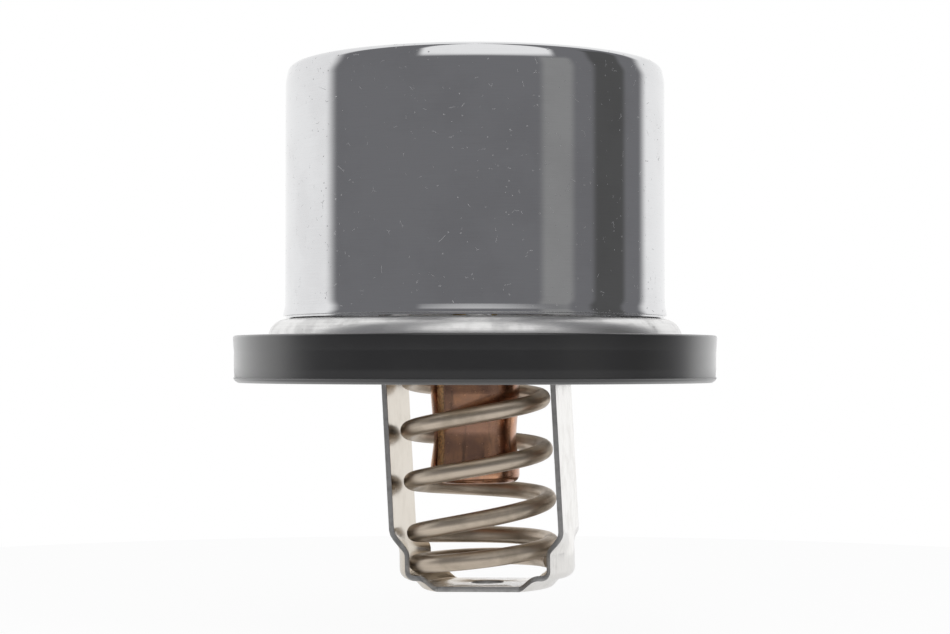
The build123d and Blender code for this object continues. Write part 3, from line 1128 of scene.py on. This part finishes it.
@dataclass(frozen=True)
class Panel:
    """One plain grey or white panel of the studio, by direction in degrees.

    The bearings are to the right of the camera, and the heights are above the horizon.
    """

    left: float
    right: float
    foot: float
    head: float
    edge: float
    level: float

    def cover(self, bearing: Shade, rise: Shade) -> Shade:
        """How strongly a direction lies in the panel."""
        across = bearing.between(self.left - self.edge, self.left + self.edge)
        across = across * bearing.between(self.right + self.edge, self.right - self.edge)
        upward = rise.between(self.foot - self.edge, self.foot + self.edge)
        return across * upward * rise.between(self.head + self.edge, self.head - self.edge)


# A dim, slightly cool room with a white backdrop behind the object to either side, a softbox overhead, and a
# light and a dark card at the right.
ROOM: Colour = (0.19, 0.19, 0.20)
PANELS: tuple[Panel, ...] = (
    Panel(left=-200.0, right=-95.0, foot=-100.0, head=100.0, edge=6.0, level=1.0),
    Panel(left=120.0, right=200.0, foot=-100.0, head=100.0, edge=6.0, level=1.0),
    Panel(left=-35.0, right=50.0, foot=28.0, head=100.0, edge=3.0, level=1.0),
    Panel(left=40.0, right=60.0, foot=-100.0, head=25.0, edge=3.0, level=0.30),
    Panel(left=75.0, right=100.0, foot=-100.0, head=40.0, edge=3.0, level=0.10),
)


@dataclass
class Studio:
    """White studio: a dim side behind the camera, bright white behind the object, and a pale floor."""

    camera_turn: float = 12.2
    camera_distance: float = 300.7
    camera_height: float = -0.58
    aim_height: float = 6.1
    lens: float = 79.84
    floor_height: float = -40.5
    floor_radius: float = 190.0
    floor_glow: float = 0.55
    floor_camera_glow: float = 0.38
    softbox_size: Point = (0.22, 0.12)
    softbox_power: float = 0.25
    softbox_forward: float = 0.16
    softbox_place: tuple[float, float, float] = (0.03, 0.0, 0.32)

    def to_camera(self) -> Vector:
        """Level direction from the object to the camera."""
        turn = self.camera_turn * DEGREE
        return Vector((math.sin(turn), -math.cos(turn), 0.0))

    def build(self) -> None:
        """Set the camera, the surroundings, the lamp and the floor."""
        self.build_camera()
        self.build_world()
        self.build_lamp()
        self.build_floor()
        bpy.context.scene.view_settings.view_transform = "Standard"

    def build_camera(self) -> None:
        """Place the camera and aim it a little above its own height."""
        data = bpy.data.cameras.new("camera")
        data.lens = self.lens
        data.clip_start = 0.01
        camera = bpy.data.objects.new("camera", data)
        bpy.context.scene.collection.objects.link(camera)
        place = self.to_camera() * self.camera_distance + Vector((0.0, 0.0, self.camera_height))
        aim = Vector((0.0, 0.0, self.aim_height))
        camera.location = place * MM
        camera.rotation_euler = (aim - place).to_track_quat("-Z", "Y").to_euler()
        bpy.context.scene.camera = camera

    def build_world(self) -> None:
        """Surroundings by direction: a dim room with a few plain soft panels in it."""
        world = bpy.data.worlds.new("studio")
        bpy.context.scene.world = world
        world.use_nodes = True
        graph = Graph(world.node_tree)
        direction = graph.node("ShaderNodeTexCoord", output="Generated")
        turn_back = (0.0, 0.0, -self.camera_turn * DEGREE)
        sockets = {"Vector": direction, "Rotation": turn_back}
        turned = graph.node("ShaderNodeMapping", {"vector_type": "POINT"}, sockets)
        right, away, up = graph.axes(turned)
        bearing = graph.function("ARCTAN2", right, away * -1.0) / DEGREE
        rise = graph.function("ARCSINE", up) / DEGREE
        room: Shade | Colour = ROOM
        for panel in PANELS:
            room = graph.mix(panel.cover(bearing, rise), room, (panel.level,) * 3)
        studio = graph.mix(up.between(-0.25, -0.6), room, BELOW)
        camera_ray = graph.node("ShaderNodeLightPath", output="Is Camera Ray")
        seen = graph.mix(camera_ray, studio, WHITE)
        graph.close("World", graph.node("ShaderNodeBackground", {}, {"Color": seen, "Strength": 1.0}))

    def build_lamp(self) -> None:
        """A soft lamp above and in front, sized and placed in metres."""
        data = bpy.data.lights.new("overhead_softbox", "AREA")
        data.shape = "RECTANGLE"
        data.size, data.size_y = self.softbox_size
        data.energy = self.softbox_power
        lamp = bpy.data.objects.new("overhead_softbox", data)
        lamp.visible_glossy = False
        bpy.context.scene.collection.objects.link(lamp)
        lamp.location = self.to_camera() * self.softbox_forward + Vector(self.softbox_place)
        lamp.rotation_euler = (-lamp.location).to_track_quat("-Z", "Y").to_euler()

    def build_floor(self) -> None:
        """A round pale floor below the stirrup: it keeps the object's shadow, and is clear from below."""
        bpy.ops.object.select_all(action="DESELECT")
        place = (0.0, 0.0, self.floor_height * MM)
        bpy.ops.mesh.primitive_circle_add(
            vertices=96, radius=self.floor_radius * MM, fill_type="NGON", location=place
        )
        floor = bpy.context.active_object
        floor.name = "studio_floor"
        bpy.ops.object.transform_apply(location=True)
        material, graph = new_graph("pale_floor")
        matte = graph.node("ShaderNodeBsdfDiffuse", {}, {"Color": (0.86, 0.86, 0.86)})
        white = graph.node("ShaderNodeEmission", {}, {"Color": WHITE, "Strength": 1.0})
        camera_ray = graph.node("ShaderNodeLightPath", output="Is Camera Ray")
        glow = camera_ray * self.floor_camera_glow + self.floor_glow
        upper = graph.node("ShaderNodeMixShader", {}, {0: glow, 1: matte, 2: white})
        underside = graph.node("ShaderNodeNewGeometry", output="Backfacing")
        clear = graph.node("ShaderNodeBsdfTransparent")
        seen_from_below = underside * camera_ray
        surface = graph.node("ShaderNodeMixShader", {}, {0: seen_from_below, 1: upper, 2: clear})
        graph.close("Material", surface)
        floor.data.materials.append(material)


# ---- assembly ----


def dress_frame(frame: dict, shop: FinishShop) -> None:
    """Give every CAD node that stays in view the finish of its slot.

    Args:
        shop: The finishes.
    """
    for part in frame["record"]["subparts"]:
        node = frame["nodes"][part["node"]]
        shop.dress(node, part["material_slot"])


def main() -> None:
    """Build the valve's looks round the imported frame."""
    logging.basicConfig(level=logging.INFO, format="%(name)s: %(message)s")
    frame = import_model()
    lift = max(frame["joints"][0]["range_m"]) / MM
    shop = FinishShop()
    dress_frame(frame, shop)
    Studio().build()
    ValveSleeve().build(shop)
    SeatFlange().build(shop)
    WaxCapsule().build(shop)
    ReturnSpring().build(shop, lift)
    Stirrup().build(shop)


if __name__ == "__main__":
    main()
